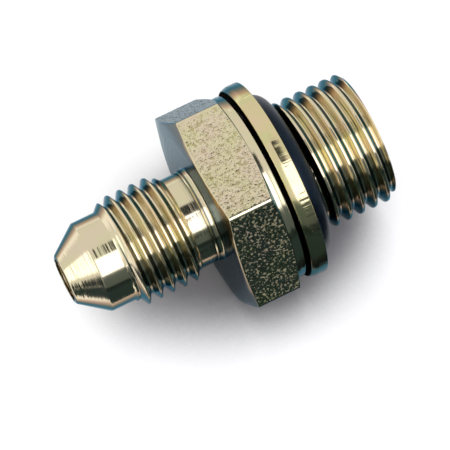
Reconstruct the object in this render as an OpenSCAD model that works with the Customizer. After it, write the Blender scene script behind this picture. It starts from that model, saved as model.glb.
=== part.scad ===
// High pressure adapter fitting: a male 37 degree flare nose on one side of a hexagon, and on the
// other a parallel-thread stud that seals in its port by an O-ring held inside a retaining ring.
//
// The parts are drawn standing on the nose, along +Z, as on a lathe, and then laid along +X:
// nose at -X, stud at +X, one hexagon flat up. The origin is on the axis, in the plane where the
// retaining ring meets the face of the port.

/* [Flow bore] */
// Bore drilled through the whole body, mm
bore_diameter = 4.3; // [3.4:0.1:4.5]
// Countersink where the bore leaves the stud, mm
bore_countersink = 0.5; // [0.2:0.1:1]

/* [Flare nose] */
// Seat half angle, degrees
flare_angle = 37; // [30:1:45]
// Small end of the seat cone, mm
flare_tip_diameter = 4.9; // [4.7:0.1:5.8]
// Plain cylinder between the cone and the thread: diameter, mm
pilot_diameter = 9.1; // [8.6:0.1:9.3]
// Length of the plain cylinder, mm
pilot_length = 2.4; // [1.6:0.1:4]
// Edge break at the tip, mm
tip_break = 0.12; // [0.05:0.01:0.2]

/* [Nose thread] */
// Outside diameter of the nose thread, 7/16-20, mm
nose_thread_diameter = 10.95; // [10.8:0.05:11.4]
// Distance between its crests, mm
nose_thread_pitch = 1.27; // [1.1:0.01:1.3]
// Length from the first cut to the neck, mm
nose_thread_length = 6.95; // [5:0.05:12]
// Plain neck between the thread and the hexagon: diameter, mm
neck_diameter = 9.2; // [8.6:0.1:9.3]
// Length of the neck with its land, mm
neck_length = 2.35; // [1.6:0.05:4]
// Slightly thicker land between the neck and the hexagon: diameter, mm
land_diameter = 9.4; // [9.35:0.05:9.7]
// Length of the land, mm
land_length = 0.7; // [0.4:0.05:1]
// Fillet where the land meets the hexagon, mm
land_fillet = 0.2; // [0.1:0.05:0.3]
// Turns the start of the nose thread round the axis, degrees
nose_thread_start = 160; // [0:10:350]

/* [Hexagon] */
// Size across the flats, mm
across_flats = 19; // [18:0.1:24]
// Length from the front face to the start of the round collar, mm
hex_length = 5.25; // [4:0.05:12]
// How much smaller than the flats the front face is turned, mm
front_face_step = 0.8; // [0.1:0.1:1.5]
// Slope of the front chamfer from the face, degrees
front_chamfer_angle = 12; // [8:1:30]
// Slope of the rear chamfer from the face, degrees
rear_chamfer_angle = 19; // [10:1:40]
// How much smaller than the flats the collar behind them is turned, mm
collar_step = 0.2; // [0.1:0.05:1]
// Length of the round collar, mm
collar_length = 0.85; // [0.3:0.05:3]

/* [Port stud] */
// Outside diameter of the stud thread, G 1/4, mm
stud_thread_diameter = 13.1; // [12.9:0.05:13.5]
// Distance between its crests, mm
stud_thread_pitch = 1.337; // [1.2:0.001:1.4]
// How far the stud reaches into the port, mm
stud_length = 9.2; // [7:0.1:14]
// Undercut that carries the O-ring: diameter, mm
undercut_diameter = 11.2; // [10.6:0.05:11.3]
// How far the undercut runs into the port before the thread starts, mm
undercut_reach = 1.95; // [1.5:0.05:2.5]
// Chamfer at the stud's end, mm
stud_end_chamfer = 0.4; // [0.2:0.05:1]
// Turns the start of the stud thread round the axis, degrees
stud_thread_start = 140; // [0:10:350]

/* [Retaining ring] */
// Width of the ring's wall round the O-ring, mm
ring_wall = 1.6; // [1.2:0.01:2.4]
// Thickness, mm
ring_thickness = 1.65; // [1.2:0.05:2.2]
// Rolled edge that faces the hexagon, mm
ring_edge = 0.2; // [0.05:0.01:0.3]
// Gap between the ring and the collar before the fitting is tightened, mm
ring_gap = 0.45; // [0.2:0.05:0.8]

/* [O-ring] */
// Thickness of the O-ring, mm
o_ring_section = 2.62; // [2.4:0.01:2.8]
// How far the O-ring stands out of the retaining ring, mm
o_ring_stand_out = 1.7; // [1.5:0.05:1.85]
// Clearance of the O-ring on the undercut, mm
o_ring_neck_clearance = 0.02; // [0.01:0.01:0.1]
// Clearance of the O-ring inside the retaining ring, mm
o_ring_ring_clearance = 0.05; // [0.02:0.01:0.2]

/* [Hidden] */

$fn = 96;
cut_over = 1;             // how far cutters and blanks run past what they cut
helix_steps = 36;         // straight steps in one turn of a thread
crest_cover = 0.05;       // how far a thread cutter stands out past the crests

// Stations along the axis, from the port's face at 0 down to the tip of the nose
ring_front = -ring_thickness;
collar_face = ring_front - ring_gap;
hex_back = collar_face - collar_length;
hex_front = hex_back - hex_length;
nose_thread_end = hex_front - neck_length;
nose_thread_from = nose_thread_end - nose_thread_length;
pilot_from = nose_thread_from - pilot_length;
flare_length = (pilot_diameter - flare_tip_diameter) / 2 / tan(flare_angle);
tip = pilot_from - flare_length;
stud_thread_from = undercut_reach;

// Radii
flat_radius = across_flats / 2;
corner_radius = flat_radius / cos(30);
collar_radius = flat_radius - collar_step / 2;
front_face_radius = flat_radius - front_face_step / 2;
neck_radius = neck_diameter / 2;
land_radius = land_diameter / 2;
undercut_radius = undercut_diameter / 2;
nose_crest = nose_thread_diameter / 2;
stud_crest = stud_thread_diameter / 2;
hex_blank_radius = corner_radius + cut_over;

// Thread depths: unified 60 degree thread, and Whitworth 55 degree thread with its rounding radius
nose_thread_depth = 0.6134 * nose_thread_pitch;
stud_thread_depth = 0.6403 * stud_thread_pitch;
stud_thread_rounding = 0.1373 * stud_thread_pitch;
nose_root = nose_crest - nose_thread_depth;
stud_root = stud_crest - stud_thread_depth;

// O-ring, stretched over the undercut, and the ring that is made to fit round it
o_ring_radius = o_ring_section / 2;
o_ring_centre_radius = undercut_radius + o_ring_neck_clearance + o_ring_radius;
o_ring_station = o_ring_stand_out - o_ring_radius;
ring_bore_radius = o_ring_centre_radius + o_ring_radius + o_ring_ring_clearance;
ring_radius = ring_bore_radius + ring_wall;

// Half sections of the two grooves, as [radius, distance along the axis from the groove's middle]
nose_groove = let (
    flank = tan(30),
    crest = nose_thread_pitch * 7 / 16,
    root = crest - nose_thread_depth * flank
) [
    [nose_root, root],
    [nose_crest + crest_cover, crest + crest_cover * flank]
];
stud_groove = let (
    rise = stud_thread_rounding * (1 - sin(27.5)),
    run = stud_thread_rounding * cos(27.5)
) [
    [stud_root, run * 0.4],
    [stud_root + rise, run],
    [stud_crest - rise, stud_thread_pitch / 2 - run],
    [stud_crest + crest_cover, stud_thread_pitch / 2 - run * 0.25]
];

// The whole section, from one lip of the groove down to its root and up to the other lip
function mirrored(half) = concat(
    [for (i = [len(half) - 1 : -1 : 0]) [half[i][0], -half[i][1]]],
    half
);

// A solid swept by a section along a right-hand helix that climbs one pitch in each turn
module helix(section, pitch, from, to) {
    corners = len(section);
    rows = ceil((to - from) / pitch * helix_steps);
    points = [
        for (row = [0 : rows])
            let (turn = 360 * row / helix_steps, height = from + pitch * row / helix_steps)
            for (corner = section)
                [corner[0] * cos(turn), corner[0] * sin(turn), height + corner[1]]
    ];
    walls = [
        for (row = [0 : rows - 1], i = [0 : corners - 1])
            let (
                next = (i + 1) % corners,
                a = row * corners + i,
                b = row * corners + next,
                c = b + corners,
                d = a + corners
            )
            each [[a, c, b], [a, d, c]]
    ];
    first_end = [for (i = [0 : corners - 1]) i];
    last_end = [for (i = [corners - 1 : -1 : 0]) rows * corners + i];
    polyhedron(points, concat([first_end], walls, [last_end]));
}

// Cuts a right-hand thread into its blank, with a crest at the blank's start at the given angle.
// The half step keeps the thread's corners off the line where the turned faces close.
module thread_groove(half_section, pitch, from, to, start) {
    rotate(start + 180 / helix_steps)
        helix(mirrored(half_section), pitch, from - 1.5 * pitch, to + 1.5 * pitch);
}

// Turned outline of the nose, the neck, the collar and the stud, as radius against height
module turned_outline() {
    nose_lead = nose_crest - pilot_diameter / 2;
    nose_runout = nose_crest - neck_radius;
    stud_runout = stud_crest - undercut_radius;
    land_from = hex_front - land_length;
    difference() {
        polygon([
            [0, tip],
            [flare_tip_diameter / 2 - tip_break, tip],
            [flare_tip_diameter / 2 + tip_break * tan(flare_angle), tip + tip_break],
            [pilot_diameter / 2, pilot_from],
            [pilot_diameter / 2, nose_thread_from],
            [nose_crest, nose_thread_from + nose_lead],
            [nose_crest, nose_thread_end - nose_runout],
            [neck_radius, nose_thread_end],
            [neck_radius, land_from],
            [land_radius, land_from + land_radius - neck_radius],
            [land_radius, hex_front - land_fillet],
            [land_radius + land_fillet, hex_front - land_fillet],
            [land_radius + land_fillet, hex_back],
            [collar_radius, hex_back],
            [collar_radius, collar_face],
            [undercut_radius, collar_face],
            [undercut_radius, stud_thread_from],
            [stud_crest, stud_thread_from + stud_runout],
            [stud_crest, stud_length - stud_end_chamfer],
            [stud_crest - stud_end_chamfer, stud_length],
            [0, stud_length]
        ]);
        translate([land_radius + land_fillet, hex_front - land_fillet])
            circle(land_fillet);
    }
}

// Outline that the lathe leaves of the hexagon bar, chamfered at both ends
module hexagon_outline() {
    over = hex_blank_radius;
    polygon([
        [0, hex_front],
        [front_face_radius, hex_front],
        [over, hex_front + (over - front_face_radius) * tan(front_chamfer_angle)],
        [over, hex_back - (over - collar_radius) * tan(rear_chamfer_angle)],
        [collar_radius, hex_back],
        [0, hex_back]
    ]);
}

module hexagon() {
    intersection() {
        translate([0, 0, hex_front - cut_over])
            rotate(30)
            cylinder(r = corner_radius, h = hex_length + 2 * cut_over, $fn = 6);
        rotate_extrude() hexagon_outline();
    }
}

module flow_bore() {
    bore_radius = bore_diameter / 2;
    translate([0, 0, tip - cut_over])
        cylinder(r = bore_radius, h = stud_length - tip + 2 * cut_over);
    translate([0, 0, stud_length - bore_countersink])
        cylinder(r1 = bore_radius, r2 = bore_radius + 2 * bore_countersink, h = 2 * bore_countersink);
}

module laid_along_x() {
    rotate([0, 90, 0]) children();
}

module adapter_body() {
    color("goldenrod")
    laid_along_x()
    difference() {
        union() {
            rotate_extrude() turned_outline();
            hexagon();
        }
        thread_groove(nose_groove, nose_thread_pitch, nose_thread_from + nose_thread_pitch / 2,
                      nose_thread_end, nose_thread_start);
        thread_groove(stud_groove, stud_thread_pitch, stud_thread_from + stud_thread_pitch / 2,
                      stud_length, stud_thread_start);
        flow_bore();
    }
}

module retaining_ring() {
    color("khaki")
    laid_along_x()
    rotate_extrude()
        polygon([
            [ring_bore_radius, ring_front],
            [ring_radius - ring_edge, ring_front],
            [ring_radius, ring_front + 3 * ring_edge],
            [ring_radius, 0],
            [ring_bore_radius, 0]
        ]);
}

module o_ring() {
    color("black")
    laid_along_x()
    translate([0, 0, o_ring_station])
    rotate_extrude()
        translate([o_ring_centre_radius, 0]) circle(o_ring_radius);
}

adapter_body();
retaining_ring();
o_ring();
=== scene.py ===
# %% [markdown]
# High pressure adapter fitting, modelled and lit as a lesson in cells.
#
# The fitting is turned from one steel bar: a cone that seals a flared pipe, a thread for its nut, a
# hexagon for the spanner, and a stud that screws into a port. A steel ring and a rubber O-ring sit
# in a groove between the hexagon and the stud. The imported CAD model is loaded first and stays
# fixed. It gives every place and size, and the finer pieces below stand exactly where it does.

# %% Load the CAD model
from math import atan2, ceil, cos, hypot, pi, radians, sin, tan

import bmesh
import bpy
from mathutils import Matrix, Vector


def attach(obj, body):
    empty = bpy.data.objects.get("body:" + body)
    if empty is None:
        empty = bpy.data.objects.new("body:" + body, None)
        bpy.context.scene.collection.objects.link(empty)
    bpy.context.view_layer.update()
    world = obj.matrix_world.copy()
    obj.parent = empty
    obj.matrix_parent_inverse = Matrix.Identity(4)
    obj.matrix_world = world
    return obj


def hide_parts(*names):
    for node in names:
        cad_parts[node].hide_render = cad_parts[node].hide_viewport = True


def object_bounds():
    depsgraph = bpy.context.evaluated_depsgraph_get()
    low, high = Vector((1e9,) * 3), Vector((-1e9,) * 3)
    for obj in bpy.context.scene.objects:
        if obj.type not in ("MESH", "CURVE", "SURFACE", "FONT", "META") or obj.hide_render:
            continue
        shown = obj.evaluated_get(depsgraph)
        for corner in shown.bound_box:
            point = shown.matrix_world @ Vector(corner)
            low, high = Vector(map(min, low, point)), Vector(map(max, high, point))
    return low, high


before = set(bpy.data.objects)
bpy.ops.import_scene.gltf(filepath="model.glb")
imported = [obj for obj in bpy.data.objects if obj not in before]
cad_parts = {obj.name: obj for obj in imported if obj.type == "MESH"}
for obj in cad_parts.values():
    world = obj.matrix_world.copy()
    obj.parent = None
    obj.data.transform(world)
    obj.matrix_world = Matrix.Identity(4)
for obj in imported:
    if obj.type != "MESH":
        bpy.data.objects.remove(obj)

cad_box = [list(corner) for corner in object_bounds()]
scene = bpy.context.scene
print(len(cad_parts), "CAD nodes, box in mm:",
      [[round(1000 * value, 2) for value in corner] for corner in cad_box])

# %% [markdown]
# Camera. The photograph looks down on the fitting from the nose's side, from above and in front,
# with a long lens, so the sizes hardly shrink with distance. The picture is also rolled a little.
# A camera could be turned by three angles, but they are easily mixed up. Its matrix is plainer: its
# columns are three directions, where the picture's right and up point, and where back is, from the
# object towards the camera.

# %% Camera
MM = 0.001
PICTURE_WIDTH = 450
FOCAL_PIXELS = 3185
SENSOR_WIDTH = 36
LOOK_AT = Vector((-4.488, 0, 0))
PICTURE_RIGHT = Vector((0.89069, -0.45346, -0.03257))
PICTURE_UP = Vector((0.42943, 0.81572, 0.38763))
TOWARDS_CAMERA = Vector((-0.14919, -0.35923, 0.92127))
CAMERA_OFFSET = (-1.191, -2.652, 301)     # from LOOK_AT, along the three directions, in mm

camera = bpy.data.objects.new("camera", bpy.data.cameras.new("camera"))
scene.collection.objects.link(camera)
scene.camera = camera
camera.data.sensor_width = SENSOR_WIDTH
camera.data.lens = SENSOR_WIDTH * FOCAL_PIXELS / PICTURE_WIDTH
camera.data.clip_start = 0.01
camera_axes = Matrix((PICTURE_RIGHT, PICTURE_UP, TOWARDS_CAMERA)).transposed()
camera_place = LOOK_AT + camera_axes @ Vector(CAMERA_OFFSET)
camera.matrix_world = Matrix.Translation(camera_place * MM) @ camera_axes.to_4x4()
print("camera", [round(value) for value in camera_place], "mm, lens", round(camera.data.lens), "mm")

# %% [markdown]
# Colours are written as they look on a screen, in sRGB hex, and one function turns them to the
# linear values that the shaders work in. One more small function adds a shader node: it sets the
# node's properties, and it fills each input with a value or with a link from another node. So a
# material reads from top to bottom, as its nodes would from left to right in the shader editor.
#
# A noise pattern's scale says how many of its cells go into a metre. The patterns below are given
# by the size of one cell in millimetres instead, which can be measured on the real piece.

# %% Colours and nodes
def colour(hex_text):
    """Turns an sRGB hex colour into the linear RGBA that a shader wants."""
    channels = [int(hex_text[i:i + 2], 16) / 255 for i in (1, 3, 5)]
    linear = [c / 12.92 if c <= 0.04045 else ((c + 0.055) / 1.055) ** 2.4 for c in channels]
    return (*linear, 1)


def cells_of(size):
    """The pattern scale for cells of a size in millimetres, rounded to tens."""
    return round(1 / (size * MM), -1)


def add(tree, kind, inputs=None, **settings):
    """Adds a shader node, sets its properties, and fills its inputs with values or links."""
    node = tree.nodes.new("ShaderNode" + kind)
    for name, value in settings.items():
        setattr(node, name, value)
    for name, value in (inputs or {}).items():
        if isinstance(value, bpy.types.NodeSocket):
            tree.links.new(value, node.inputs[name])
        else:
            node.inputs[name].default_value = value
    return node


def new_material(name):
    """An empty material, its tree, and its output node."""
    material = bpy.data.materials.new(name)
    material.use_nodes = True
    material.node_tree.nodes.clear()
    return material, material.node_tree, add(material.node_tree, "OutputMaterial")


def set_ramp(node, stops):
    """Gives a colour ramp its stops, as (place, hex colour)."""
    elements = node.color_ramp.elements
    while len(elements) < len(stops):
        elements.new(1)
    for element, (place, hex_text) in zip(elements, stops):
        element.position = place
        element.color = colour(hex_text)


# %% [markdown]
# Stations. They repeat the CAD source's named values, in millimetres along the fitting's axis,
# which is X: the nose points to -X, and 0 is the plane where the ring meets the port. The meshes
# are built in millimetres too, because Blender's mesh tools like numbers near 1, and each finished
# piece is scaled to metres in its mesh at the very end. Diameters follow where they are needed.

# %% Stations along the axis
TIP = -22.687
PILOT_FROM = -19.9
NOSE_FROM = -17.5
NOSE_TO = -10.55
LAND_FROM = -8.9
HEX_FRONT = -8.2
HEX_BACK = -2.95
COLLAR_FACE = -2.1
RING_FRONT = -1.65
STUD_FROM = 1.95
STUD_TO = 9.2
print("length", round(STUD_TO - TIP, 2), "mm")

# %% [markdown]
# Threads. A real thread is a groove that a lathe tool cuts along a helix, while the crests keep
# the bar's skin. In Blender, the spin operator does the same: it turns a short profile of one
# pitch round the axis and moves it along by a small step each time. The turns then touch, and
# merging their doubled points makes one skin. A displaced cylinder would give stepped crests,
# because its edges run across the helix. Here the edges follow it.
#
# Where the thread starts and ends, the blank under it is smaller than its crests. So each point is
# pulled in to the blank's outline, which makes the lead-in and the run-out. Past the ends all
# points land on one circle, where the plain part goes on. All turned surfaces share the same
# columns of points round the axis, so that their rims can merge.

# %% Columns and outlines
COLUMNS = 144


def column_place(angle):
    """The nearest of the shared columns to an angle round the axis."""
    step = 2 * pi / COLUMNS
    return round(angle / step) * step


def set_polar(vert, x, radius):
    """Puts a point at a station and a radius, in its own column round the axis."""
    angle = column_place(atan2(vert.co.y, -vert.co.z))
    vert.co = Vector((x, radius * sin(angle), -radius * cos(angle)))


def outline_radius(outline, x):
    """The radius of an outline of (x, radius) points at station x."""
    if x <= outline[0][0]:
        return outline[0][1]
    for (x0, r0), (x1, r1) in zip(outline, outline[1:]):
        if x <= x1:
            return r0 + (r1 - r0) * (x - x0) / (x1 - x0)
    return outline[-1][1]


# %% [markdown]
# The profile is half of one pitch, from the edge of the root to the middle of the crest, and its
# mirror image. The bevel operator rounds its corners, because a worn tool and the plating leave
# none sharp. The flanks are cut into short edges, so that they follow the blank's cone closely
# where they are pulled in.

# %% One pitch, and its sweep along the helix
FLANK_CUTS = 4
SHORTEST_FLANK = 0.3      # longer edges of a profile are flanks
MERGE_DISTANCE = 0.002


def thread_profile(bm, half, station, start, rounding):
    """The edge chain of one pitch, from crest over root to crest, with softly rounded corners."""
    points = [(-distance, radius) for distance, radius in reversed(half)] + half
    verts = [bm.verts.new((station + distance, 0, -radius)) for distance, radius in points]
    for pair in zip(verts, verts[1:]):
        bm.edges.new(pair)
    bmesh.ops.bevel(bm, geom=verts[1:-1], offset=rounding, offset_type="OFFSET", segments=3,
                    profile=0.5, affect="VERTICES", clamp_overlap=True, material=-1)
    flanks = [edge for edge in bm.edges if edge.calc_length() > SHORTEST_FLANK]
    bmesh.ops.subdivide_edges(bm, edges=flanks, cuts=FLANK_CUTS)
    bmesh.ops.rotate(bm, cent=(0, 0, 0), verts=bm.verts, matrix=Matrix.Rotation(start, 3, "X"))


def thread_skin(name, half, start, span, outline, ends, rounding):
    """Sweeps one pitch of a thread along its helix and pulls it in to the blank's outline."""
    pitch = 2 * half[-1][0]
    bm = bmesh.new()
    thread_profile(bm, half, span[0] - pitch, radians(start), rounding)
    bmesh.ops.spin(bm, geom=bm.verts[:] + bm.edges[:], cent=(0, 0, 0), axis=(1, 0, 0),
                   dvec=(pitch / COLUMNS, 0, 0), angle=2 * pi, steps=COLUMNS)
    one_turn = bm.verts[:] + bm.edges[:] + bm.faces[:]
    for turn in range(1, ceil((span[1] - span[0]) / pitch) + 3):
        made = bmesh.ops.duplicate(bm, geom=one_turn)["geom"]
        points = [part for part in made if isinstance(part, bmesh.types.BMVert)]
        bmesh.ops.translate(bm, vec=(turn * pitch, 0, 0), verts=points)
    for vert in bm.verts:
        radius = min(hypot(vert.co.y, vert.co.z), outline_radius(outline, vert.co.x))
        set_polar(vert, min(max(vert.co.x, ends[0]), ends[1]), radius)
    bmesh.ops.remove_doubles(bm, verts=bm.verts, dist=MERGE_DISTANCE)
    print(name, len(bm.faces), "faces,", sum(edge.is_boundary for edge in bm.edges), "open edges")
    return bm


# %% [markdown]
# The nose's thread takes the nut that presses a flared pipe on the cone. It is a unified thread of
# 20 turns to the inch: flanks of 60 degrees, and crests an eighth of the pitch wide. Both its ends
# run down 45 degree cones, to the plain pilot in front and to the neck behind.

# %% Nose thread
PILOT_RADIUS = 4.55
NECK_RADIUS = 4.6
NOSE_CREST = 5.475
NOSE_PITCH = 1.27
NOSE_DEPTH = 0.6134 * NOSE_PITCH
NOSE_ROUNDING = 0.05
NOSE_START = 160          # degrees round the axis where the thread starts
HALF_STEP = 5             # the CAD threads start this many degrees late
THREAD_END = 0.05         # plain length at each end of a thread's skin

crest_from = NOSE_PITCH * 7 / 16
nose_root = NOSE_CREST - NOSE_DEPTH
body = thread_skin(
    "nose thread",
    [(crest_from - NOSE_DEPTH * tan(radians(30)), nose_root), (crest_from, NOSE_CREST),
     (NOSE_PITCH / 2, NOSE_CREST)],
    NOSE_START + HALF_STEP, (NOSE_FROM, NOSE_TO),
    [(NOSE_FROM, PILOT_RADIUS), (NOSE_FROM + NOSE_CREST - PILOT_RADIUS, NOSE_CREST),
     (NOSE_TO - NOSE_CREST + NECK_RADIUS, NOSE_CREST), (NOSE_TO, NECK_RADIUS)],
    (NOSE_FROM - THREAD_END, NOSE_TO + THREAD_END), NOSE_ROUNDING,
)

# %% [markdown]
# The stud's thread screws into the port. It is a parallel pipe thread of 19 turns to the inch, with
# flanks of 55 degrees. It comes up steeply out of the groove behind it, and its free end has a
# small chamfer. That end is cut square across the thread, which opens the groove onto the end face.
# The skin is swept a little too long, and the bisect operator cuts it at a plane and clears what
# lies beyond. A boolean would do it too, but the cut is cleaner this way.

# %% Stud thread
UNDERCUT_RADIUS = 5.6
STUD_CREST = 6.55
STUD_PITCH = 1.337
STUD_DEPTH = 0.6403 * STUD_PITCH
STUD_ROOT_HALF_WIDTH = 0.1
STUD_CREST_WIDTH = 0.26
STUD_ROUNDING = 0.07
STUD_START = 195          # the photograph's crests, 55 degrees on from the CAD thread's
STUD_LEAD = 0.4           # along the axis, from the groove to full crests
STUD_CHAMFER = 0.4
STUD_SPARE = 0.8          # swept past the end, and cut off again

stud = thread_skin(
    "stud thread",
    [(STUD_ROOT_HALF_WIDTH, STUD_CREST - STUD_DEPTH),
     (STUD_PITCH / 2 - STUD_CREST_WIDTH / 2, STUD_CREST), (STUD_PITCH / 2, STUD_CREST)],
    STUD_START + HALF_STEP, (STUD_FROM, STUD_TO),
    [(STUD_FROM, UNDERCUT_RADIUS), (STUD_FROM + STUD_LEAD, STUD_CREST),
     (STUD_TO - STUD_CHAMFER, STUD_CREST), (STUD_TO + 1, STUD_CREST - STUD_CHAMFER - 1)],
    (STUD_FROM - THREAD_END, STUD_TO + STUD_SPARE), STUD_ROUNDING,
)
bmesh.ops.bisect_plane(stud, geom=stud.verts[:] + stud.edges[:] + stud.faces[:], dist=1e-5,
                       plane_co=(STUD_TO, 0, 0), plane_no=(1, 0, 0), clear_outer=True)
carried = bpy.data.meshes.new("carried")
stud.to_mesh(carried)
stud.free()
body.from_mesh(carried)
bpy.data.meshes.remove(carried)
print("both threads", len(body.faces), "faces")

# %% [markdown]
# The rest of the body is turned on from the threads' open rims: each new station is an extruded
# copy of the rim, moved along the axis and to its new radius. Every rim has the same columns, so
# the whole body stays one closed skin, as it is one piece of steel on the bench.

# %% Turn on from a rim
SAME_STATION = 0.01


def rim_at(bm, x):
    """The open edges that lie at station x."""
    return [edge for edge in bm.edges if edge.is_boundary
            and all(abs(vert.co.x - x) < SAME_STATION for vert in edge.verts)]


def turn_on(bm, rim, stations):
    """Carries an open rim on through stations, each a pair or a function of the column's angle."""
    for station in stations:
        made = bmesh.ops.extrude_edge_only(bm, edges=rim)["geom"]
        fresh = {part for part in made if isinstance(part, bmesh.types.BMVert)}
        rim = [part for part in made
               if isinstance(part, bmesh.types.BMEdge) and set(part.verts) <= fresh]
        for vert in fresh:
            angle = atan2(vert.co.y, -vert.co.z)
            set_polar(vert, *(station(angle) if callable(station) else station))
    return rim


# %% [markdown]
# The hexagon is made in the same pass. On the real one, a lathe chamfers a hexagonal bar, and each
# flat then ends in a curved edge. Here, the two stations at the flats' ends take the hexagon's
# radius in each column, and the cone of the chamfer says how far along they lie. That gives the
# curved edges exactly, without a boolean's stray triangles. The round collar behind the hexagon is
# a little slimmer than the flats, and it ends at the groove.

# %% Hexagon, neck and collar
FLAT_RADIUS = 9.5
FRONT_FACE_RADIUS = 9.1
FRONT_FACE_MIDDLE = 7.4   # one more circle on the front face, which keeps its faces small
FRONT_CHAMFER = 12
REAR_CHAMFER = 19
COLLAR_RADIUS = 9.4
LAND_RADIUS = 4.7
LAND_FILLET = 0.2


def hexagon_radius(angle):
    """The hexagon's radius at an angle from the flat that faces down."""
    from_flat = (angle + pi / 6) % (pi / 3) - pi / 6
    return FLAT_RADIUS / cos(from_flat)


def front_of_flat(angle):
    """Where the front chamfer's cone meets the flat in a column."""
    radius = hexagon_radius(angle)
    return HEX_FRONT + (radius - FRONT_FACE_RADIUS) * tan(radians(FRONT_CHAMFER)), radius


def back_of_flat(angle):
    """Where the rear chamfer's cone meets the flat in a column."""
    radius = hexagon_radius(angle)
    return HEX_BACK - (radius - COLLAR_RADIUS) * tan(radians(REAR_CHAMFER)), radius


fillet = [(HEX_FRONT - LAND_FILLET + LAND_FILLET * sin(radians(turn)),
           LAND_RADIUS + LAND_FILLET - LAND_FILLET * cos(radians(turn)))
          for turn in range(0, 91, 18)]
turn_on(body, rim_at(body, NOSE_TO + THREAD_END), [
    (LAND_FROM, NECK_RADIUS), (LAND_FROM + LAND_RADIUS - NECK_RADIUS, LAND_RADIUS),
    *fillet, (HEX_FRONT, FRONT_FACE_MIDDLE), (HEX_FRONT, FRONT_FACE_RADIUS), front_of_flat,
    back_of_flat, (HEX_BACK, COLLAR_RADIUS), (COLLAR_FACE, COLLAR_RADIUS),
    (COLLAR_FACE, UNDERCUT_RADIUS), (STUD_FROM - THREAD_END, UNDERCUT_RADIUS),
])
print("body with hexagon", len(body.faces), "faces")

# %% [markdown]
# The nose ends in a cone of 37 degrees to the axis, on which the flared pipe seals, and the flow
# bore runs right through to the stud's end. The rim that is turned on over the cone and back
# through the bore arrives at the end face. Two loops are left there, and bridging them makes the
# face. Then the doubled rims are merged, and the normals are made to point outwards.

# %% Cone, bore and end face
BORE_RADIUS = 2.15
COUNTERSINK = 0.5
TIP_RADIUS = 2.45
TIP_BREAK = 0.12
CONE_ANGLE = 37
END_FACE_INSIDE = 4       # the end face's outer loop lies outside this radius

bore_rim = turn_on(body, rim_at(body, NOSE_FROM - THREAD_END), [
    (PILOT_FROM, PILOT_RADIUS),
    (TIP + TIP_BREAK, TIP_RADIUS + TIP_BREAK * tan(radians(CONE_ANGLE))),
    (TIP, TIP_RADIUS - TIP_BREAK), (TIP, BORE_RADIUS),
    (STUD_TO - COUNTERSINK, BORE_RADIUS), (STUD_TO, BORE_RADIUS + COUNTERSINK),
])
thread_rim = [edge for edge in rim_at(body, STUD_TO)
              if hypot(edge.verts[0].co.y, edge.verts[0].co.z) > END_FACE_INSIDE]
bmesh.ops.bridge_loops(body, edges=bore_rim + thread_rim)
bmesh.ops.remove_doubles(body, verts=body.verts, dist=MERGE_DISTANCE)
bmesh.ops.recalc_face_normals(body, faces=body.faces)
print("body", len(body.faces), "faces,", sum(not edge.is_manifold for edge in body.edges),
      "faulty edges,", round(body.calc_volume(signed=True), 1), "mm3")

# %% [markdown]
# No machined edge is a knife edge. The hexagon's corners come round from the drawing die, and the
# turned edges are broken with a file. A Bevel modifier could round them all by one width. The bevel
# operator rounds each by its own, and these narrow strips catch the light, which is most of what
# makes metal look real.

# %% Round the edges
CORNER_WIDTH = 0.24
EDGE_BREAK = 0.08
PILOT_BREAK = 0.1
MOUTH_BREAK = 0.04
ALONG_AXIS = 0.02         # a face whose normal has less than this of the axis runs along it
COLLAR_MARGIN = 0.05


def soften(bm, edges, width, segments):
    """Rounds edges by a width in millimetres."""
    bmesh.ops.bevel(bm, geom=list(edges), offset=width, offset_type="OFFSET", segments=segments,
                    profile=0.5, affect="EDGES", clamp_overlap=True, material=-1)


def near(vert, x, radius):
    """Whether a point lies on the turned circle at a station and a radius."""
    return (abs(vert.co.x - x) < MERGE_DISTANCE
            and abs(hypot(vert.co.y, vert.co.z) - radius) < MERGE_DISTANCE)


def circle_edges(bm, x, radius):
    """The edges of the turned circle at a station and a radius."""
    return [edge for edge in bm.edges if all(near(vert, x, radius) for vert in edge.verts)]


corner_radius = FLAT_RADIUS / cos(radians(30))
corners = [edge for edge in body.edges
           if all(abs(hypot(vert.co.y, vert.co.z) - corner_radius) < MERGE_DISTANCE
                  for vert in edge.verts)]
soften(body, corners, CORNER_WIDTH, 3)
flat_ends = [edge for edge in body.edges
             if min(hypot(vert.co.y, vert.co.z) for vert in edge.verts)
             > COLLAR_RADIUS + COLLAR_MARGIN
             and sorted(abs(face.normal.x) < ALONG_AXIS for face in edge.link_faces)
             == [False, True]]
soften(body, flat_ends, EDGE_BREAK, 2)
soften(body, circle_edges(body, COLLAR_FACE, COLLAR_RADIUS), EDGE_BREAK, 2)
soften(body, circle_edges(body, PILOT_FROM, PILOT_RADIUS), PILOT_BREAK, 3)
soften(body, circle_edges(body, TIP, TIP_RADIUS - TIP_BREAK), MOUTH_BREAK, 2)
soften(body, circle_edges(body, TIP, BORE_RADIUS), MOUTH_BREAK, 2)
print(len(corners), "hexagon corners,", len(body.faces), "faces after rounding")

# %% [markdown]
# The retaining ring keeps the O-ring in place while the stud is tightened. It is blanked from
# sheet: the punch rolls the edge that it enters by, which faces the hexagon, and leaves the other
# edge crisp. A torus or a bevelled tube would have all its edges alike. So the ring starts from the
# corners of its section, the bevel operator rounds each corner by its own width, and one full spin
# makes the ring.

# %% Retaining ring
RING_RADIUS = 9.885
RING_BORE_RADIUS = 8.29
RING_EDGE = 0.2           # how far the rolled edge falls, over three times as much of the rim


def spun(bm):
    """Spins a closed section, made in the XZ plane, once round the X axis."""
    bmesh.ops.spin(bm, geom=bm.verts[:] + bm.edges[:], cent=(0, 0, 0), axis=(1, 0, 0),
                   angle=2 * pi, steps=COLUMNS, use_merge=True)
    bmesh.ops.recalc_face_normals(bm, faces=bm.faces)


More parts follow.
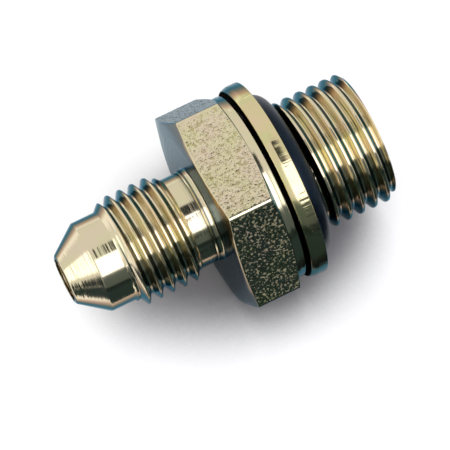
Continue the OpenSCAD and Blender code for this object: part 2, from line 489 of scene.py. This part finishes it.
RING_SECTION = [                          # station, radius, width of the rounded corner
    (RING_FRONT, RING_BORE_RADIUS, 0.15), (RING_FRONT, RING_RADIUS - RING_EDGE, 0.1),
    (RING_FRONT + 3 * RING_EDGE, RING_RADIUS, 0.08), (0, RING_RADIUS, 0.07),
    (0, RING_BORE_RADIUS, 0.07),
]
ring = bmesh.new()
section = [ring.verts.new((x, 0, -radius)) for x, radius, width in RING_SECTION]
for vert, following in zip(section, section[1:] + section[:1]):
    ring.edges.new((vert, following))
for vert, (x, radius, width) in zip(section, RING_SECTION):
    bmesh.ops.bevel(ring, geom=[vert], offset=width, offset_type="OFFSET", segments=4,
                    profile=0.5, affect="VERTICES", clamp_overlap=True, material=-1)
spun(ring)
print("ring", len(ring.faces), "faces,", round(ring.calc_volume(signed=True), 1), "mm3")

# %% [markdown]
# The O-ring seals the stud in the port. It is moulded rubber of round section, so one circle, spun
# round the axis, is all of it. Blender's torus would do too, but it would have to be turned and
# moved. The spin starts from the circle where it really lies.

# %% O-ring
O_RING_SECTION = 2.62
O_RING_CENTRE_RADIUS = 6.93
O_RING_STATION = 0.39

seal = bmesh.new()
circle = bmesh.ops.create_circle(seal, segments=40, radius=O_RING_SECTION / 2)["verts"]
bmesh.ops.rotate(seal, cent=(0, 0, 0), verts=circle, matrix=Matrix.Rotation(pi / 2, 3, "X"))
bmesh.ops.translate(seal, vec=(O_RING_STATION, 0, -O_RING_CENTRE_RADIUS), verts=circle)
spun(seal)
print("O-ring", len(seal.faces), "faces,", round(seal.calc_volume(signed=True), 1), "mm3")

# %% [markdown]
# Plated steel. The body is free-cutting steel, zinc plated and then dipped in a yellow
# passivation: a metal that mirrors the room in dull gold. The passivation is a film as thin as a
# soap bubble's, so the colour drifts to mauve and to a deep teal where one looks along the surface.
# That drift is partly the film's tint and partly painted reflection of a dark blue-teal
# surrounding, which darkens the metal at a slanting look. A real thin film could be worked out from
# its thickness. One ramp over the slant of the view is simpler and easy to match, and it multiplies
# the metal's own colour. Turned surfaces drift to the deep teal, and the hexagon's front and flats
# to a paler mauve and blue.

# %% Colour of the plating, and painted reflection at a slanting look
# The stops darken and tint the metal at a slanting look: the film's tint and painted reflection.
ROUND_FILM = [(0.45, "#FFFFFF"), (0.53, "#CDB6B0"), (0.62, "#8A8A8E"), (0.7, "#507A94"),
              (0.79, "#558CBA"), (1.0, "#8FB8D6")]
FACE_FILM = [(0.38, "#FFFFFF"), (0.6, "#C4B2AE"), (0.84, "#7F7B8A"), (1.0, "#8FB0C8")]
EDGE_TINT = colour("#A8BCC8")             # the metal's reflection at the most slanting look
CLOUD_SIZE = 2.38
CLOUD_STOPS = (0.35, 0.5, 0.65)


def passivated(tree, place, tones, film_stops):
    """The colour of yellow-passivated zinc: cloudy gold, with the film's tint and painted reflection
    drifting it to dark teal at a slanting look.
    """
    clouds = add(tree, "TexNoise", {"Vector": place, "Scale": cells_of(CLOUD_SIZE), "Detail": 3,
                                    "Roughness": 0.6})
    gold = add(tree, "ValToRGB", {"Fac": clouds.outputs["Fac"]})
    set_ramp(gold, list(zip(CLOUD_STOPS, tones)))
    slant = add(tree, "LayerWeight", {"Blend": 0.5})
    film = add(tree, "ValToRGB", {"Fac": slant.outputs["Facing"]})
    set_ramp(film, film_stops)
    tinted = add(tree, "Mix", {"Factor": 1.0, 6: gold.outputs["Color"], 7: film.outputs["Color"]},
                 data_type="RGBA", blend_type="MULTIPLY")
    return tinted.outputs[2]


# %% [markdown]
# The lathe leaves fine grooves round the axis. They are about 0.1 mm apart on such a part, with
# deeper ones every third of a millimetre, and only those would show at this size. A groove is the
# same all the way round, so its pattern must know a point's station and radius but not its angle.
# The noise is fed just those two. It drives a shallow bump, deeper than the real grooves so that
# it shows, and a small change of the gloss, which breaks the mirror into bright and dark lines.

# %% Plated, turned steel
GROOVE_PITCH = 0.345
GROOVE_DEPTH = 0.04


def turned_coordinates(tree):
    """A point's place, and its station and radius alone, which is what a lathe's marks follow."""
    place = add(tree, "TexCoord").outputs["Object"]
    axes = add(tree, "SeparateXYZ", {"Vector": place})
    flat = add(tree, "CombineXYZ", {"Y": axes.outputs["Y"], "Z": axes.outputs["Z"]})
    radius = add(tree, "VectorMath", {0: flat.outputs[0]}, operation="LENGTH")
    turned = add(tree, "CombineXYZ", {"X": axes.outputs["X"], "Y": radius.outputs["Value"]})
    return place, turned.outputs[0]


def plated_turned_steel(name, film_stops):
    material, tree, output = new_material(name)
    place, turned = turned_coordinates(tree)
    grooves = add(tree, "TexNoise", {"Vector": turned, "Scale": cells_of(GROOVE_PITCH),
                                     "Detail": 2})
    rough = add(tree, "MapRange", {"Value": grooves.outputs["Fac"], "To Min": 0.08, "To Max": 0.2})
    bump = add(tree, "Bump", {"Height": grooves.outputs["Fac"], "Strength": 1.0,
                              "Distance": GROOVE_DEPTH * MM})
    metal = add(tree, "BsdfPrincipled", {
        "Base Color": passivated(tree, place, ("#E9E0B6", "#ECDFBA", "#EEDDBE"), film_stops),
        "Metallic": 1.0, "Roughness": rough.outputs[0],
        "Normal": bump.outputs[0], "Specular Tint": EDGE_TINT})
    tree.links.new(metal.outputs[0], output.inputs["Surface"])
    return material


turned_steel = plated_turned_steel("zinc_plated_turned_steel", ROUND_FILM)
faced_steel = plated_turned_steel("zinc_plated_faced_steel", FACE_FILM)
print(turned_steel.name, "and", faced_steel.name, len(turned_steel.node_tree.nodes), "nodes each")

# %% [markdown]
# The groove between the hexagon and the stud is deep and narrow, and little light gets into it.
# The clean steel would mirror the pale studio into the gap and close it to the eye, so the groove
# has a material of its own: dull, near black metal with a random mottle, which is painted shade of
# the deep gap. The ring's front and its bore, which form the gap's other wall, have it too.

# %% Dull steel of the groove, which is painted shade
OIL_SIZE = 0.5


def dull_recess_steel():
    material, tree, output = new_material("dull_recess_steel")
    turned = turned_coordinates(tree)[1]
    film = add(tree, "TexNoise", {"Vector": turned, "Scale": cells_of(OIL_SIZE), "Detail": 2})
    # Near black ramp: painted shade of the deep groove, with a random mottle.
    oil = add(tree, "ValToRGB", {"Fac": film.outputs["Fac"]})
    set_ramp(oil, [(0.35, "#14130F"), (0.7, "#25221B")])
    metal = add(tree, "BsdfPrincipled", {
        "Base Color": oil.outputs["Color"], "Metallic": 1.0, "Roughness": 0.45,
        "Specular Tint": colour("#404040")})
    tree.links.new(metal.outputs[0], output.inputs["Surface"])
    return material


recess_steel = dull_recess_steel()
print(recess_steel.name, len(recess_steel.node_tree.nodes), "nodes")

# %% [markdown]
# The hexagon's flats are the bar's own drawn skin, pickled and plated: finely pitted, so they
# scatter light and sparkle. Real pits are finer than the picture can show, and they are drawn about
# 0.3 mm wide. Displaced geometry would cost millions of faces. A bump tilts the surface a little
# instead, and a second noise makes small patches rough among smooth ones: where the flat mirrors
# something dark, the rough patches still catch light from elsewhere and glitter.

# %% Plated, drawn steel of the flats
GRAIN_SIZE = 0.3125
GRAIN_DEPTH = 0.05
PIT_SIZE = 0.2326


def plated_drawn_steel():
    material, tree, output = new_material("zinc_plated_drawn_steel")
    place = add(tree, "TexCoord").outputs["Object"]
    grain = add(tree, "TexNoise", {"Vector": place, "Scale": cells_of(GRAIN_SIZE), "Detail": 2,
                                   "Roughness": 0.6})
    pits = add(tree, "TexNoise", {"Vector": place, "Scale": cells_of(PIT_SIZE), "Detail": 1})
    rough = add(tree, "MapRange", {"Value": pits.outputs["Fac"], "From Min": 0.54,
                                   "From Max": 0.62, "To Min": 0.1, "To Max": 0.62})
    bump = add(tree, "Bump", {"Height": grain.outputs["Fac"], "Strength": 1.0,
                              "Distance": GRAIN_DEPTH * MM})
    gold = passivated(tree, place, ("#EAE2B4", "#F0E4BE", "#F2E0C4"), FACE_FILM)
    # Darker in the grain's hollows: painted shade in the pits.
    depth = add(tree, "ValToRGB", {"Fac": grain.outputs["Fac"]})
    set_ramp(depth, [(0.36, "#DAD6C2"), (0.5, "#FFFFFF")])
    skin = add(tree, "Mix", {"Factor": 1.0, 6: gold, 7: depth.outputs["Color"]},
               data_type="RGBA", blend_type="MULTIPLY")
    metal = add(tree, "BsdfPrincipled", {
        "Base Color": skin.outputs[2], "Metallic": 1.0, "Roughness": rough.outputs[0],
        "Normal": bump.outputs[0], "Specular Tint": EDGE_TINT})
    tree.links.new(metal.outputs[0], output.inputs["Surface"])
    return material


drawn_steel = plated_drawn_steel()
print(drawn_steel.name, len(drawn_steel.node_tree.nodes), "nodes")

# %% [markdown]
# The ring is blanked. The edge that the punch rolls is smooth, and the sheared part of the rim
# beside it has fine lines along the axis, about 0.3 mm apart. A Mapping node squeezes the pattern
# along the axis, which draws its cells out into lines. The bump fades out towards both ends of the
# sheared part, so the rolled edge and the flat face at the port stay smooth.

# %% Plated, blanked steel of the ring
SHEAR_PITCH = 1 / 3
SHEAR_STRETCH = 0.08
SHEAR_DEPTH = 0.04
SHEAR_MIDDLE = -0.5       # station of the sheared part's middle
SHEAR_INSIDE = 0.35       # the marks are full up to this distance from it
SHEAR_OUTSIDE = 0.49      # and hardly there past this one


def plated_blanked_steel():
    material, tree, output = new_material("zinc_plated_blanked_steel")
    place = add(tree, "TexCoord").outputs["Object"]
    long_way = add(tree, "Mapping", {"Vector": place, "Scale": (SHEAR_STRETCH, 1, 1)})
    shear = add(tree, "TexNoise", {"Vector": long_way.outputs[0], "Scale": cells_of(SHEAR_PITCH),
                                   "Detail": 2})
    station = add(tree, "SeparateXYZ", {"Vector": place}).outputs["X"]
    offset = add(tree, "Math", {0: station, 1: SHEAR_MIDDLE * MM}, operation="SUBTRACT")
    distance = add(tree, "Math", {0: offset.outputs[0]}, operation="ABSOLUTE")
    sheared = add(tree, "MapRange", {"Value": distance.outputs[0], "From Min": SHEAR_INSIDE * MM,
                                     "From Max": SHEAR_OUTSIDE * MM, "To Min": 1.0,
                                     "To Max": 0.05})
    bump = add(tree, "Bump", {"Height": shear.outputs["Fac"], "Strength": sheared.outputs[0],
                              "Distance": SHEAR_DEPTH * MM})
    metal = add(tree, "BsdfPrincipled", {
        "Base Color": passivated(tree, place, ("#E2DCA2", "#EADAA8", "#EED7B0"), ROUND_FILM),
        "Metallic": 1.0, "Roughness": 0.16,
        "Normal": bump.outputs[0], "Specular Tint": EDGE_TINT})
    tree.links.new(metal.outputs[0], output.inputs["Surface"])
    return material


blanked_steel = plated_blanked_steel()
print(blanked_steel.name, len(blanked_steel.node_tree.nodes), "nodes")

# %% [markdown]
# The O-ring is moulded nitrile rubber: near black and satin, with a faint bloom, as the mould and
# the wax in the rubber leave it. A plain black would look like a hole. A cloudy change between two
# near blacks and a slight bump give it a surface, and a low specular level keeps it from shining
# like paint.

# %% Nitrile rubber
BLOOM_SIZE = 2 / 3
BLOOM_DEPTH = 0.03


def moulded_rubber():
    material, tree, output = new_material("moulded_nitrile_rubber")
    place = add(tree, "TexCoord").outputs["Object"]
    bloom = add(tree, "TexNoise", {"Vector": place, "Scale": cells_of(BLOOM_SIZE), "Detail": 3})
    shade = add(tree, "ValToRGB", {"Fac": bloom.outputs["Fac"]})
    set_ramp(shade, [(0.35, "#070D14"), (0.7, "#0F1822")])
    bump = add(tree, "Bump", {"Height": bloom.outputs["Fac"], "Strength": 0.4,
                              "Distance": BLOOM_DEPTH * MM})
    surface = add(tree, "BsdfPrincipled", {
        "Base Color": shade.outputs["Color"], "Roughness": 0.4, "Normal": bump.outputs[0],
        "Specular IOR Level": 0.35, "Specular Tint": colour("#A8C8E8")})
    tree.links.new(surface.outputs[0], output.inputs["Surface"])
    return material


rubber = moulded_rubber()
print(rubber.name, len(rubber.node_tree.nodes), "nodes")

# %% [markdown]
# The body has four finishes, because its surfaces were made in four ways: turned, faced, left as
# drawn, or cut as a groove, whose finish carries painted shade. They could be painted by hand in
# edit mode. Here a rule says it for each face, by where it lies and where it points: a flat's normal
# points square to one of six directions, and a faced surface's along the axis.

# %% Give each face its finish
TURNED, DRAWN, RECESS, FACED = range(4)
SQUARE_WITHIN = radians(3)
FLATS_OUTSIDE = COLLAR_RADIUS + 0.02
GROOVE_INSIDE = COLLAR_RADIUS - 0.1
FACED_OUTSIDE = LAND_RADIUS + 0.3
RING_BORE_INSIDE = RING_BORE_RADIUS + 0.1
TOWARDS_NOSE = -0.9       # a normal with less than this of the axis faces the nose


def body_finish(face):
    """Which of the body's finishes a face has."""
    middle = face.calc_center_median()
    radius = hypot(middle.y, middle.z)
    off_flat = (atan2(face.normal.y, face.normal.z) + pi / 6) % (pi / 3) - pi / 6
    if (HEX_FRONT < middle.x < HEX_BACK and abs(face.normal.x) < ALONG_AXIS
            and radius > FLATS_OUTSIDE and abs(off_flat) < SQUARE_WITHIN):
        return DRAWN
    if COLLAR_FACE - MERGE_DISTANCE < middle.x < STUD_FROM and radius < GROOVE_INSIDE:
        return RECESS
    if middle.x < HEX_BACK and face.normal.x < TOWARDS_NOSE and radius > FACED_OUTSIDE:
        return FACED
    return TURNED


for face in body.faces:
    face.material_index = body_finish(face)
# The ring's front and its bore take the groove's painted shade too.
for face in ring.faces:
    middle = face.calc_center_median()
    in_bore = hypot(middle.y, middle.z) < RING_BORE_INSIDE
    face.material_index = int(in_bore or face.normal.x < TOWARDS_NOSE)
print(sum(face.material_index == DRAWN for face in body.faces), "faces on the flats,",
      sum(face.material_index == RECESS for face in body.faces), "in the groove")

# %% [markdown]
# Now the meshes become objects. Each is scaled to metres in its mesh, shaded smooth except at true
# edges, and given weighted normals, so that the flats stay flat right up to their rounded edges.
# More segments on every edge would do that too, at many times the faces. Each piece rides on the
# fitting's one body and stands for its CAD node.

# %% Finish the pieces
SHARP_FROM = radians(32)


def finish_piece(name, bm, materials, node):
    """Makes an object of a mesh in millimetres, rides it on the body and names what it replaces."""
    bmesh.ops.scale(bm, vec=(MM, MM, MM), verts=bm.verts)
    mesh = bpy.data.meshes.new(name)
    bm.to_mesh(mesh)
    bm.free()
    for material in materials:
        mesh.materials.append(material)
    mesh.shade_smooth()
    mesh.set_sharp_from_angle(angle=SHARP_FROM)
    piece = bpy.data.objects.new(name, mesh)
    scene.collection.objects.link(piece)
    normals = piece.modifiers.new("weighted normals", "WEIGHTED_NORMAL")
    normals.keep_sharp = True
    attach(piece, "root")
    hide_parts(node)
    print(name, "stands for", node)


finish_piece("fitting_body", body, (turned_steel, drawn_steel, recess_steel, faced_steel),
             "adapter_body")
finish_piece("ring_finished", ring, (blanked_steel, recess_steel),
             "retaining_ring")
finish_piece("seal_finished", seal, (rubber,), "o_ring")

# %% [markdown]
# Floor. The fitting lies on a plain white floor. A white diffuse sheet comes out grey under soft
# light, and more light would burn out the metal. So the sheet is a light grey that takes the
# shadow, and for the camera and for reflections it adds a white of its own.
#
# That white would drown the shadow, and so it fades near the object. An Ambient Occlusion node says
# how open a point of the floor is within a small reach, and its normal leans back, away from the
# camera's side, so that the shadow spreads towards the viewer, as the photograph's does.

# %% Floor
FLOOR_LEVEL = cad_box[0][2]
FLOOR_HALF = 3
PAPER_TONE = "#8C8C8E"
OWN_WHITE = 0.84
SHADOW_REACH = 0.015
SHADOW_LEAN = (0, 0.5, 0.866)
CLOSED, OPEN = 0.42, 0.8                  # openness at which the floor's own white is none, and full


def stage_sheet(name, middle, across, along, material):
    """A flat rectangle of the studio: its middle, and its two half sides as vectors, in metres."""
    sheet = bmesh.new()
    bmesh.ops.create_grid(sheet, x_segments=1, y_segments=1, size=1)
    across, along = Vector(across), Vector(along)
    axes = Matrix((across, along, across.cross(along).normalized())).transposed().to_4x4()
    bmesh.ops.transform(sheet, matrix=Matrix.Translation(middle) @ axes, verts=sheet.verts)
    mesh = bpy.data.meshes.new(name)
    sheet.to_mesh(mesh)
    sheet.free()
    mesh.materials.append(material)
    placed = bpy.data.objects.new(name, mesh)
    scene.collection.objects.link(placed)
    return placed


def white_paper():
    material, tree, output = new_material("white_paper")
    path = add(tree, "LightPath").outputs
    seen = add(tree, "Math", {0: path["Is Camera Ray"], 1: path["Is Glossy Ray"]},
               operation="MAXIMUM")
    seen = add(tree, "Math", {0: seen.outputs[0], 1: path["Is Transmission Ray"]},
               operation="MAXIMUM")
    openness = add(tree, "AmbientOcclusion", {"Distance": SHADOW_REACH, "Normal": SHADOW_LEAN},
                   samples=32)
    strength = add(tree, "MapRange", {"Value": openness.outputs["AO"], "From Min": CLOSED,
                                      "From Max": OPEN, "To Min": 0.0, "To Max": OWN_WHITE},
                   interpolation_type="SMOOTHSTEP")
    own_white = add(tree, "Emission", {"Color": colour("#FFFFFF"),
                                       "Strength": strength.outputs[0]})
    nothing = add(tree, "Emission", {"Strength": 0.0})
    extra = add(tree, "MixShader", {0: seen.outputs[0], 1: nothing.outputs[0],
                                    2: own_white.outputs[0]})
    paper = add(tree, "BsdfDiffuse", {"Color": colour(PAPER_TONE)})
    both = add(tree, "AddShader", {0: paper.outputs[0], 1: extra.outputs[0]})
    tree.links.new(both.outputs[0], output.inputs["Surface"])
    return material


stage_sheet("floor", (0, 0, FLOOR_LEVEL), (FLOOR_HALF, 0, 0), (0, FLOOR_HALF, 0), white_paper())
print("floor at", round(FLOOR_LEVEL / MM, 2), "mm")

# %% [markdown]
# Dark cards. Polished metal has no light and shade of its own: it mirrors the studio, and in an
# all-white one it looks like paper. So a photographer stands dark cards around it, which draw the
# dark bands along a turned part. Each card's place follows from the mirror rule: where the band
# should be on the metal, the card lies in the direction in which the eye's line bounces off. Only
# reflections see these cards: they cast no shadow and take no light from the floor.

# %% Dark cards
def dark_card(name, middle, across, along, felt):
    """A card that only shows in what the metal mirrors."""
    card = stage_sheet(name, middle, across, along, felt)
    card.visible_camera = card.visible_diffuse = card.visible_shadow = False


def card_felt(name, tone):
    """The felt of a card: plain and matt."""
    felt, tree, output = new_material(name)
    plain = add(tree, "BsdfDiffuse", {"Color": colour(tone)})
    tree.links.new(plain.outputs[0], output.inputs["Surface"])
    return felt


grey_felt = card_felt("grey_felt", "#748284")
dark_felt = card_felt("dark_felt", "#2A393A")

# The band above the middle of the threads and the neck
dark_card("card_overhead", (0.032, 0.012, 0.25), (0.034, 0, 0), (0, 0.056, 0), dark_felt)
# The soft band below their middle, and the darker line at its foot
dark_card("card_standing", (0, -0.1, 0.0316), (0.09, 0, 0), (0, 0, 0.0414), grey_felt)
dark_card("card_low", (0, -0.0985, 0), (0.09, 0, 0), (0, 0, 0.0098), dark_felt)
# The lower flat and all that looks down to the front
dark_card("card_lying", (0, -0.0565, FLOOR_LEVEL + 0.0001), (0.09, 0, 0), (0, 0.0435, 0), dark_felt)
# The band on the cone
dark_card("card_nose", (-0.094, -0.058, 0.006), (0.011, -0.018, 0), (0, 0, 0.0158), dark_felt)

# %% [markdown]
# Light. The world is a pale, even sky, so a colour renders about as it is written. Two softboxes
# add what the metal needs to mirror: a large window above and in front, which makes the bright
# patches on the pilot and the neck, and a long, low strip beyond the nose, which lights the flanks
# of the threads on that side. A point lamp would only make dots. The lamps' strength is given as
# the brightness of their faces, because that is what a mirror shows. A lamp hides nothing behind
# it, so the metal mirrors the window and the sky together, and the brightest patches come out
# white.

# %% World and lamps
SKY_TONE = "#E9E9EA"
SKY_STRENGTH = 0.95

world = bpy.data.worlds.new("pale studio")
scene.world = world
world.use_nodes = True
sky = world.node_tree.nodes["Background"].inputs
sky["Color"].default_value = colour(SKY_TONE)
sky["Strength"].default_value = SKY_STRENGTH


def lamp(name, towards, distance, size, brightness, tone="#FFFFFF"):
    """A rectangular softbox in a direction from the object, with the brightness of its face."""
    data = bpy.data.lights.new(name, "AREA")
    data.shape = "RECTANGLE"
    data.size, data.size_y = size
    data.energy = brightness * pi * size[0] * size[1]
    data.color = colour(tone)[:3]
    box = bpy.data.objects.new(name, data)
    scene.collection.objects.link(box)
    place = Vector(towards).normalized() * distance
    box.matrix_world = place.to_track_quat("Z", "X").to_matrix().to_4x4()
    box.matrix_world.translation = place
    print(name, "at", [round(value / MM) for value in place], "mm")


lamp("window_light", (0.02, -0.53, 0.848), 0.5, (0.40, 0.46), 1.5, "#E6E8FF")
lamp("left_light", (-0.93, 0.0, 0.31), 0.6, (0.14, 0.4), 1.2)
scene.view_settings.view_transform = "Standard"
